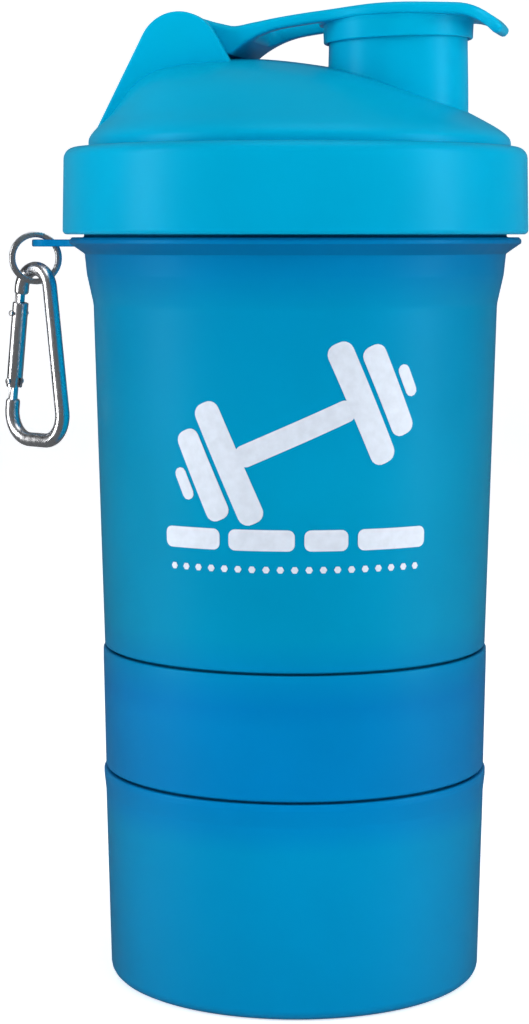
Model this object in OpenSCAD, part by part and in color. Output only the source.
// Protein shaker bottle: a mixing cup with a screw lid and flip cap, a strainer,
// two screw-on storage compartments with an organizer tray, and a clip on a ring.
// Millimetres, +Z up, origin at the centre of the base, spout towards +X.

/* [Bottom compartment] */
// Height of the bottom compartment's rim above the base
bottom_rim_z = 47.0; // [44:0.5:50]
// Outer radius at the base
bottom_foot_r = 41.3; // [40.5:0.1:42]
// Thickness of the storage compartments' floors
floor_t = 1.8; // [1.2:0.1:2.4]

/* [Middle compartment] */
// Height of the middle compartment's rim above the base
middle_rim_z = 74.2; // [72:0.1:76]
// Outer radius of a compartment's rim
rim_r = 42.7; // [42.4:0.1:43.2]
// Length of the threaded spigot under the middle compartment
middle_spigot_h = 7.2; // [7:0.1:8]

/* [Cup] */
// Length of the threaded spigot under the cup
cup_spigot_h = 8.6; // [8:0.1:9.5]
// Wall thickness of the cup and the compartments
wall_t = 1.6; // [1.4:0.1:1.8]
// Outer radius where the cup's tapered wall ends
cup_shoulder_r = 44.5; // [44:0.1:45]
// Outer radius of the cup's neck
neck_r = 46.3; // [46:0.1:46.6]
// Height of the cup's mouth above the base
mouth_z = 180.2; // [180:0.1:180.3]
// Height of the top of the ledge that the lid stops on
ledge_z = 164.5; // [163:0.1:165]
// Outer radius of the ledge
ledge_r = 49.5; // [49:0.1:50.5]

/* [Carry tab] */
// Distance of the tab's hole from the bottle's axis
tab_hole_x = 56.0; // [55.5:0.1:57]
// Radius of the tab's hole
tab_hole_r = 2.3; // [2.3:0.1:2.6]
// Radius of the tab's rounded end
tab_end_r = 4.4; // [4.2:0.1:4.8]
// Thickness of the tab
tab_t = 1.6; // [1.4:0.1:1.6]

/* [Lid] */
// Outer radius of the lid's collar at its bottom edge
collar_r = 51.0; // [50.8:0.1:52]
// Height of the collar's bottom edge above the base
collar_z = 165.1; // [165:0.1:165.5]
// Height of the collar's top edge above the base
collar_top_z = 183.9; // [183.5:0.1:184.5]
// Thickness of the lid's shell
lid_t = 2.0; // [1.8:0.1:2.2]
// Distance of the spout from the bottle's axis
spout_x = 22.7; // [22.5:0.1:23]
// Outer radius of the spout at its lip
spout_r = 14.9; // [14.6:0.1:15]
// Height of the spout's lip above the base
spout_z = 209.4; // [209.2:0.1:209.5]

/* [Flip cap] */
// Distance of the hinge axis behind the bottle's axis
hinge_x = 23.0; // [22.8:0.1:23.2]
// Height of the hinge axis above the base
hinge_z = 207.0; // [206.9:0.1:207.2]
// Radius of the cap's hinge trunnions
trunnion_r = 2.4; // [2.2:0.05:2.6]
// Width of the cap's arm between the hinge ears
arm_w = 26.0; // [24:0.5:27]
// Height of the cap's highest point above the base
cap_top_z = 213.6; // [213.5:0.1:213.8]

/* [Threads] */
// Rise of the lid's thread in one turn
lid_pitch = 5.0; // [4.8:0.1:5.2]
// Rise of the compartments' threads in one turn
base_pitch = 3.6; // [3.6:0.1:3.8]

/* [Split ring] */
// Outer radius of the split ring
ring_r = 5.9; // [5.8:0.05:6]
// Radial thickness of the ring's wire
ring_wire_t = 1.3; // [1.2:0.05:1.3]
// Width of the ring's two coils side by side
ring_wire_w = 1.7; // [1.5:0.1:1.8]
// Angle of the ring's plane from the bottle's middle plane, in degrees
ring_turn = 25; // [20:1:30]

/* [Carabiner] */
// Overall length of the carabiner
clip_l = 41.9; // [41:0.1:42.2]
// Radius of the carabiner's rod
rod_r = 1.65; // [1.55:0.05:1.7]
// Radius of the centre line of the carabiner's narrow top bend
top_bend_r = 4.8; // [4.8:0.1:5.2]
// Radius of the centre line of the carabiner's bottom corners
corner_r = 6.0; // [5.5:0.1:6.4]
// Half width of the centre line at the carabiner's bottom
clip_half_w = 8.6; // [8.2:0.1:8.8]
// Angle of the carabiner's plane from the bottle's middle plane, in degrees
clip_turn = -31; // [-34:1:-28]

/* [Hidden] */
$fn = 96;
blue = [0.0, 0.66, 0.83];
deep_blue = [0.0, 0.52, 0.74];
steel = [0.8, 0.8, 0.82];
// threads: wall and crest radii of the compartments and of the lid
base_male_r = 39.55;
base_male_crest = 40.9;
base_female_r = 41.2;
base_female_crest = 39.95;
base_ridge = [1.5, 0.8];
spigot_in_r = 37.9;
lid_male_crest = neck_r + 2.1;
lid_female_r = 48.9;
lid_female_crest = neck_r + 0.8;
lid_ridge = [2.2, 1.2];
thread_bury = 0.3;
thread_steps = 24;
joint_gap = 0.4;
// compartments and cup
middle_z = bottom_rim_z + joint_gap;
middle_end_z = middle_z - middle_spigot_h - joint_gap;
middle_floor_z = middle_end_z + 2.8;
cup_z = middle_rim_z + joint_gap;
cup_end_z = cup_z - cup_spigot_h - joint_gap;
cup_floor_z = cup_end_z + 3.4;
neck_z = 157;
neck_in_r = neck_r - 2.3;
tab_z = ledge_z - 0.5 - tab_t;
// organizer
tray_r = spigot_in_r - 0.5;
tray_z = middle_floor_z + floor_t + 0.2;
tray_top_z = cup_end_z - 0.8;
tray_wall = 1.4;
// lid: height, radius and backward shift of the dome's levels
dome = [[183.5, 47, 0], [185.9, 46.6, 0], [190.8, 39.8, 0.9], [197.4, 30.2, 6],
    [200.6, 21.5, 10.5], [202.6, 10, 11.8], [203.05, 4, 12]];
ear_c = [-22.3, 203.6];
ear_r = 8.9;
ear_t = 3.0;
ear_gap = 0.3;
ear_foot = [-42.8, 183.5];
ear_front = [-11.1, 202.2];
ceiling_z = mouth_z + 1.5;
seal_z = mouth_z + 1.05;
// flip cap
top_arc_r = 200;
top_arc_x = 30;
plate_t = 2.4;
barrel_r = 3.7;
lip_x = 37;
lip_arc_r = 11.5;
arch = [3.43, 186.46, 22.7];
loop_x = -7.5;
loop_w = 19;
loop_corner_r = 3.2;
socket_z = 206.4;
plug_z = 206.2;
// ring and carabiner
ring_in_r = ring_r - ring_wire_t;
ring_mid_r = ring_r - ring_wire_t / 2;
ring_z = tab_z + tab_t + 0.45 - ring_in_r;
hole_reach = 3.65;
ring_pos = [-tab_hole_x - hole_reach * cos(ring_turn), -hole_reach * sin(ring_turn), ring_z];
bend_z = ring_z - ring_mid_r + 2.85 - top_bend_r;
clip_pos = [ring_pos[0], ring_pos[1], bend_z];
corner = [clip_half_w - corner_r, top_bend_r + 2 * rod_r + corner_r - clip_l];
corner_dist = norm(corner);
side_tilt = acos((top_bend_r - corner_r) / corner_dist) - atan2(-corner[1], corner[0]);
side_l = sqrt(pow(corner_dist, 2) - pow(corner_r - top_bend_r, 2));
rod_step = 0.04;
rod_bury = 0.3;
gate_r = 1.75;
gate_top = 3.5;
gate_end = 23.0;
pivot_s = 21.6;
latch_s = 6.0;
rivet_r = 0.6;
latch_r = 0.5;
channel_w = 1.9;
tongue_t = 1.5;

// points of an arc in the plane, from angle a0 to a1
function arc(c, r, a0, a1, n) =
    [for (i = [0:n]) let (a = a0 + (a1 - a0) * i / n) [c[0] + r * cos(a), c[1] + r * sin(a)]];

// height of the cap's top surface at x
function cap_z(x, r) = cap_top_z - top_arc_r + sqrt(r * r - pow(x - top_arc_x, 2));

// a helical ridge with its base at r0 and its crest at r1, starting at height z
module ridge(r0, r1, pitch, size, z, turns) {
    n = round(turns * thread_steps);
    flip = r1 > r0;
    section = [[r0, -size[0] / 2], [r1, -size[1] / 2], [r1, size[1] / 2], [r0, size[0] / 2]];
    pts = [for (i = [0:n], p = section)
        let (a = 360 * i / thread_steps)
        [p[0] * cos(a), p[0] * sin(a), z + p[1] + pitch * i / thread_steps]];
    sides = [for (i = [0:n - 1], k = [0:3])
        let (a = 4 * i + k, b = 4 * i + (k + 1) % 4)
        each [[a, b, b + 4], [a, b + 4, a + 4]]];
    ends = [[3, 2, 1, 0], [4 * n, 4 * n + 1, 4 * n + 2, 4 * n + 3]];
    faces = concat(sides, ends);
    polyhedron(pts, flip ? faces : [for (f = faces) [for (i = [len(f) - 1:-1:0]) f[i]]], convexity = 6);
}

module male_thread(wall_r, crest_r, pitch, size, z, turns) {
    ridge(wall_r - thread_bury, crest_r, pitch, size, z, turns);
}

module female_thread(wall_r, crest_r, pitch, size, z, turns) {
    ridge(wall_r + thread_bury, crest_r, pitch, size, z + pitch / 2, turns);
}

// the shell of a storage compartment or the cup, from its outline
module lathe(outline) {
    rotate_extrude() polygon(outline);
}

module bottom_compartment() {
    color(deep_blue) union() {
        lathe(concat(
            [[0, 0]],
            arc([bottom_foot_r - 2.5, 2.5], 2.5, -90, 0, 6),
            [[42.3, bottom_rim_z - 5], [rim_r, bottom_rim_z - 1.5], [rim_r, bottom_rim_z],
                [base_female_r, bottom_rim_z], [base_female_r, bottom_rim_z - 8],
                [bottom_foot_r - wall_t + 0.3, 8]],
            arc([bottom_foot_r - wall_t - 4, floor_t + 4], 4, 0, -90, 6),
            [[0, floor_t]]));
        female_thread(base_female_r, base_female_crest, base_pitch, base_ridge, middle_end_z + 1.4, 0.8);
    }
}

module middle_compartment() {
    color(deep_blue) union() {
        lathe([[0, middle_floor_z], [spigot_in_r, middle_floor_z], [spigot_in_r, middle_end_z],
            [base_male_r, middle_end_z], [base_male_r, middle_z], [rim_r - 0.9, middle_z],
            [rim_r - 0.4, middle_z + 0.5], [rim_r, middle_rim_z - 3], [rim_r, middle_rim_z],
            [base_female_r, middle_rim_z], [base_female_r, middle_rim_z - 9],
            [rim_r - 0.4 - wall_t, middle_z + 3.2], [spigot_in_r, middle_z + 1.5],
            [spigot_in_r, middle_floor_z + floor_t], [0, middle_floor_z + floor_t]]);
        male_thread(base_male_r, base_male_crest, base_pitch, base_ridge, middle_end_z + 1.4, 0.9);
        female_thread(base_female_r, base_female_crest, base_pitch, base_ridge, cup_end_z + 1.6, 1);
    }
}

module organizer_tray() {
    color([0.75, 0.85, 0.92]) union() {
        lathe([[0, tray_z], [tray_r, tray_z], [tray_r, tray_top_z],
            [tray_r - tray_wall, tray_top_z], [tray_r - tray_wall, tray_z + tray_wall], [0, tray_z + tray_wall]]);
        for (a = [45, 135])
            rotate([0, 0, a])
                translate([0.5 - tray_r, -tray_wall / 2, tray_z + 0.5])
                    cube([2 * tray_r - 1, tray_wall, tray_top_z - tray_z - 1.5]);
    }
}

module organizer_cover() {
    color([0.75, 0.85, 0.92])
        lathe([[0, cup_end_z + 0.4], [tray_r, cup_end_z + 0.4], [tray_r, cup_end_z + 1.8],
            [tray_r - 0.6, cup_end_z + 1.8], [tray_r - 0.6, cup_end_z + 3], [tray_r - 1.8, cup_end_z + 3],
            [tray_r - 1.8, cup_end_z + 1.8], [0, cup_end_z + 1.8]]);
}

module shaker_cup() {
    color(deep_blue) difference() {
        union() {
            lathe([[0, cup_floor_z], [spigot_in_r, cup_floor_z], [spigot_in_r, cup_end_z],
                [base_male_r, cup_end_z], [base_male_r, cup_z], [rim_r - 0.8, cup_z],
                [rim_r - 0.3, cup_z + 0.5], [cup_shoulder_r - 0.1, neck_z - 6], [neck_r - 0.5, neck_z],
                [neck_r - 0.1, ledge_z - 3.6], [ledge_r, ledge_z - 1.4], [ledge_r, ledge_z - 0.6],
                [ledge_r - 0.6, ledge_z], [neck_r, ledge_z], [neck_r, mouth_z], [neck_in_r, mouth_z],
                [neck_in_r, neck_z + 0.5], [cup_shoulder_r - wall_t, neck_z - 6],
                [rim_r - 0.3 - wall_t, cup_z + 3.4], [spigot_in_r, cup_z + 1.6],
                [spigot_in_r, cup_floor_z + floor_t], [0, cup_floor_z + floor_t]]);
            male_thread(base_male_r, base_male_crest, base_pitch, base_ridge, cup_end_z + 1.6, 1);
            male_thread(neck_r, lid_male_crest, lid_pitch, lid_ridge, ledge_z + 5, 1.25);
            translate([-tab_hole_x, -tab_end_r, tab_z])
                cube([tab_hole_x - neck_r + 1, 2 * tab_end_r, tab_t]);
            translate([-tab_hole_x, 0, tab_z])
                cylinder(h = tab_t, r = tab_end_r);
        }
        translate([-tab_hole_x, 0, tab_z - 1])
            cylinder(h = tab_t + 2, r = tab_hole_r);
    }
}

module strainer() {
    floor_z = mouth_z - 6;
    basket_r = neck_in_r - 0.5;
    hole = 5.4;
    pitch = 7.6;
    color(blue) difference() {
        lathe([[0, floor_z], [basket_r, floor_z], [basket_r, mouth_z], [neck_r - 0.4, mouth_z],
            [neck_r - 0.4, mouth_z + 1], [basket_r - 1.3, mouth_z + 1], [basket_r - 1.3, floor_z + 1.6],
            [0, floor_z + 1.6]]);
        for (i = [-5:5], j = [-5:5])
            if (norm([i, j]) * pitch + hole * 0.7 < basket_r - 1.3)
                translate([i * pitch - hole / 2, j * pitch - hole / 2, floor_z - 1])
                    cube([hole, hole, 4]);
    }
}

// the dome's solid, drawn in by t on all sides
module dome_body(t) {
    hull()
        for (d = dome)
            translate([-d[2], 0, d[0] - t - 0.05])
                cylinder(h = 0.05, r = d[1] - t, $fn = 60);
}

// one hinge ear: a fin whose edges run straight from the round top to the dome
module ear_outline() {
    back = tangent(ear_foot, ear_c, ear_r, 1);
    front = tangent(ear_front, ear_c, ear_r, -1);
    polygon([ear_foot, back, ear_c, front, ear_front, [ear_front[0], 190], [-30, 183.5]]);
    translate(ear_c)
        circle(r = ear_r);
}

// where the line from p touches the circle of radius r about c
function tangent(p, c, r, side) =
    let (d = norm(c - p), a = atan2(p[1] - c[1], p[0] - c[0]), b = acos(r / d))
    c + r * [cos(a - side * b), sin(a - side * b)];

module ears() {
    for (y = [arm_w / 2 + ear_gap + ear_t, -arm_w / 2 - ear_gap])
        translate([0, y, 0])
            rotate([90, 0, 0])
                linear_extrude(ear_t)
                    ear_outline();
}

module lid() {
    color(blue) union() {
        difference() {
            union() {
                dome_body(0);
                ears();
                translate([spout_x, 0, 186])
                    cylinder(h = spout_z - 186, r = spout_r);
            }
            dome_body(lid_t);
            translate([spout_x, 0, 180])
                cylinder(h = 40, r = spout_r - 2.2);
            translate([-hinge_x, arm_w / 2 + ear_gap + ear_t - 0.7, hinge_z])
                rotate([90, 0, 0])
                    cylinder(h = arm_w + 2 * (ear_gap + ear_t - 0.7), r = trunnion_r + 0.05);
        }
        lathe(concat(
            [[lid_female_r, collar_z]],
            arc([collar_r - 1.5, collar_z + 1.5], 1.5, -90, 0, 6),
            arc([collar_r - 3.4, collar_top_z - 3], 3, 0, 90, 8),
            [[45.5, collar_top_z], [44, collar_top_z - 0.6], [42, ceiling_z],
                [44.4, ceiling_z], [44.6, seal_z], [45.4, seal_z], [45.6, ceiling_z],
                [lid_female_r, ceiling_z]]));
        female_thread(lid_female_r, lid_female_crest, lid_pitch, lid_ridge, ledge_z + 5, 1.25);
    }
}

// the cap's arm and top plate seen from the side
module cap_side() {
    polygon(concat(
        [[-hinge_x, hinge_z - barrel_r]],
        arc([arch[0], arch[1]], arch[2], 131.4, 98.9, 10),
        arc([top_arc_x, cap_top_z - top_arc_r], top_arc_r - plate_t, 98.6, 88, 12),
        arc([lip_x, cap_z(lip_x, top_arc_r) - lip_arc_r], lip_arc_r - plate_t, 90, 33, 8),
        arc([lip_x, cap_z(lip_x, top_arc_r) - lip_arc_r], lip_arc_r, 36, 90, 10),
        arc([top_arc_x, cap_top_z - top_arc_r], top_arc_r, 88, 101.6, 16),
        arc([-hinge_x, hinge_z], 5, 60, 120, 6),
        [[-hinge_x - barrel_r, hinge_z]]));
}

// the cap's arm and top plate seen from above
module cap_plan() {
    difference() {
        union() {
            translate([-hinge_x - 5, -arm_w / 2])
                square([hinge_x + 30, arm_w]);
            translate([spout_x, 0])
                circle(r = spout_r + 2.3);
            polygon([[spout_x, spout_r + 2.3], [lip_x - 2, 14.5], [lip_x - 2, -14.5], [spout_x, -spout_r - 2.3]]);
            translate([lip_x - 6, 0])
                circle(r = 14.8);
        }
        difference() {
            union() {
                translate([loop_x + loop_corner_r, -loop_w / 2])
                    square([spout_x, loop_w]);
                translate([loop_x, loop_corner_r - loop_w / 2])
                    square([loop_corner_r + 1, loop_w - 2 * loop_corner_r]);
                for (y = [-1, 1])
                    translate([loop_x + loop_corner_r, y * (loop_w / 2 - loop_corner_r)])
                        circle(r = loop_corner_r);
            }
            translate([spout_x, 0])
                circle(r = spout_r + 2.3);
            translate([spout_x, -30])
                square(60);
        }
    }
}

module flip_cap() {
    color(blue) union() {
        intersection() {
            translate([0, 30, 0])
                rotate([90, 0, 0])
                    linear_extrude(60)
                        cap_side();
            translate([0, 0, 200])
                linear_extrude(20)
                    cap_plan();
        }
        translate([spout_x, 0, 0])
            lathe([[spout_r + 0.35, socket_z], [spout_r + 1.2, socket_z], [spout_r + 1.4, cap_top_z - 2.7],
                [spout_r + 0.35, cap_top_z - 2.7]]);
        translate([spout_x, 0, 0])
            lathe([[spout_r - 4.2, plug_z], [spout_r - 3, plug_z], [spout_r - 2.6, plug_z + 1],
                [spout_r - 2.6, cap_top_z - 2.7], [spout_r - 4.2, cap_top_z - 2.7]]);
        translate([-hinge_x, arm_w / 2 + ear_gap + ear_t - 0.9, hinge_z])
            rotate([90, 0, 0])
                cylinder(h = arm_w + 2 * (ear_gap + ear_t - 0.9), r = trunnion_r);
        translate([-hinge_x, arm_w / 2, hinge_z])
            rotate([90, 0, 0])
                cylinder(h = arm_w, r = barrel_r);
    }
}

module split_ring() {
    color(steel)
        translate(ring_pos)
            rotate([90, 0, ring_turn])
                rotate_extrude()
                    translate([ring_in_r, -ring_wire_w / 2])
                        square([ring_wire_t, ring_wire_w]);
}

// moves a shape drawn upright, with x across the clip, to the hanging clip
module on_clip() {
    translate(clip_pos)
        rotate([0, 0, clip_turn])
            children();
}

// moves a shape to one of the clip's sides: origin where the top bend ends,
// -z down the side, +x out of the clip
module on_side() {
    translate([top_bend_r * cos(side_tilt), 0, top_bend_r * sin(side_tilt)])
        rotate([0, -side_tilt, 0])
            children();
}

// moves a shape to the gate's side
module on_gate_side() {
    on_clip()
        mirror([1, 0, 0])
            on_side()
                children();
}

// a bend of the rod about c, from angle a0 to a1
module bend(c, r, a0, a1) {
    translate([c[0], 0, c[1]])
        rotate([90, 0, 0])
            rotate([0, 0, a0])
                rotate_extrude(angle = a1 - a0)
                    translate([r, 0])
                        circle(r = rod_r, $fn = 48);
}

// a straight rod down a side, from distance s0 to s1: its ends run into the bends
module rod(s0, s1) {
    translate([0, 0, -s1])
        cylinder(h = s1 - s0, r = rod_r - rod_step, $fn = 48);
}

module carabiner_body() {
    color(steel) {
        on_clip() {
            bend([0, 0], top_bend_r, side_tilt, 180 - side_tilt);
            on_side()
                rod(-rod_bury, side_l + rod_bury);
            bend(corner, corner_r, -90, side_tilt);
            translate([corner[0] + rod_bury, 0, corner[1] - corner_r])
                rotate([0, 90, 0])
                    rod(0, 2 * (corner[0] + rod_bury));
            mirror([1, 0, 0])
                bend(corner, corner_r, -90, side_tilt);
        }
        on_gate_side() {
            rod(-rod_bury, 1.6);
            rod(side_l - 2.2, side_l + rod_bury);
            difference() {
                translate([-0.5, -tongue_t / 2, -latch_s - 1.6])
                    cube([1.8, tongue_t, latch_s + 1.2]);
                translate([-3, -2, -latch_s - 0.7])
                    cube([3.4, 4, 1.4]);
                translate([0.4, 2, -latch_s])
                    rotate([90, 0, 0])
                        cylinder(h = 4, r = 0.7);
            }
            difference() {
                translate([-0.7, -tongue_t / 2, -side_l + 1])
                    cube([1.6, tongue_t, side_l - 1 - pivot_s + 1.4]);
                translate([0, 2, -pivot_s])
                    rotate([90, 0, 0])
                        cylinder(h = 4, r = rivet_r);
            }
        }
    }
}

module carabiner_gate() {
    color(steel)
        on_gate_side()
            difference() {
                translate([0, 0, -gate_end])
                    cylinder(h = gate_end - gate_top, r = gate_r);
                translate([-0.85, -channel_w / 2, -gate_end - 1])
                    cube([4, channel_w, gate_end + 1]);
                translate([-3, -channel_w / 2, -gate_end - 1])
                    cube([4, channel_w, 3.4]);
                translate([0, 3, -pivot_s])
                    rotate([90, 0, 0])
                        cylinder(h = 6, r = rivet_r + 0.05);
                translate([0.4, 3, -latch_s])
                    rotate([90, 0, 0])
                        cylinder(h = 6, r = latch_r);
            }
}

module gate_rivet() {
    color(steel)
        on_gate_side()
            translate([0, gate_r + 0.5, -pivot_s])
                rotate([90, 0, 0])
                    cylinder(h = 2 * gate_r + 1, r = rivet_r);
}

module gate_latch_pin() {
    color(steel)
        on_gate_side()
            translate([0.4, gate_r + 0.8, -latch_s])
                rotate([90, 0, 0])
                    cylinder(h = 2 * gate_r + 1.6, r = latch_r);
}

module gate_spring() {
    color(steel)
        on_gate_side()
            translate([0.1, 0, -17.2])
                difference() {
                    cylinder(h = 8.2, r = 0.8);
                    translate([0, 0, -1])
                        cylinder(h = 11, r = 0.5);
                }
}

module gate_plunger() {
    color(steel)
        on_gate_side()
            translate([0.1, 0, -19.3])
                cylinder(h = 2.1, r = 0.7);
}

bottom_compartment();
middle_compartment();
organizer_tray();
organizer_cover();
shaker_cup();
strainer();
lid();
flip_cap();
split_ring();
carabiner_body();
carabiner_gate();
gate_rivet();
gate_latch_pin();
gate_spring();
gate_plunger();
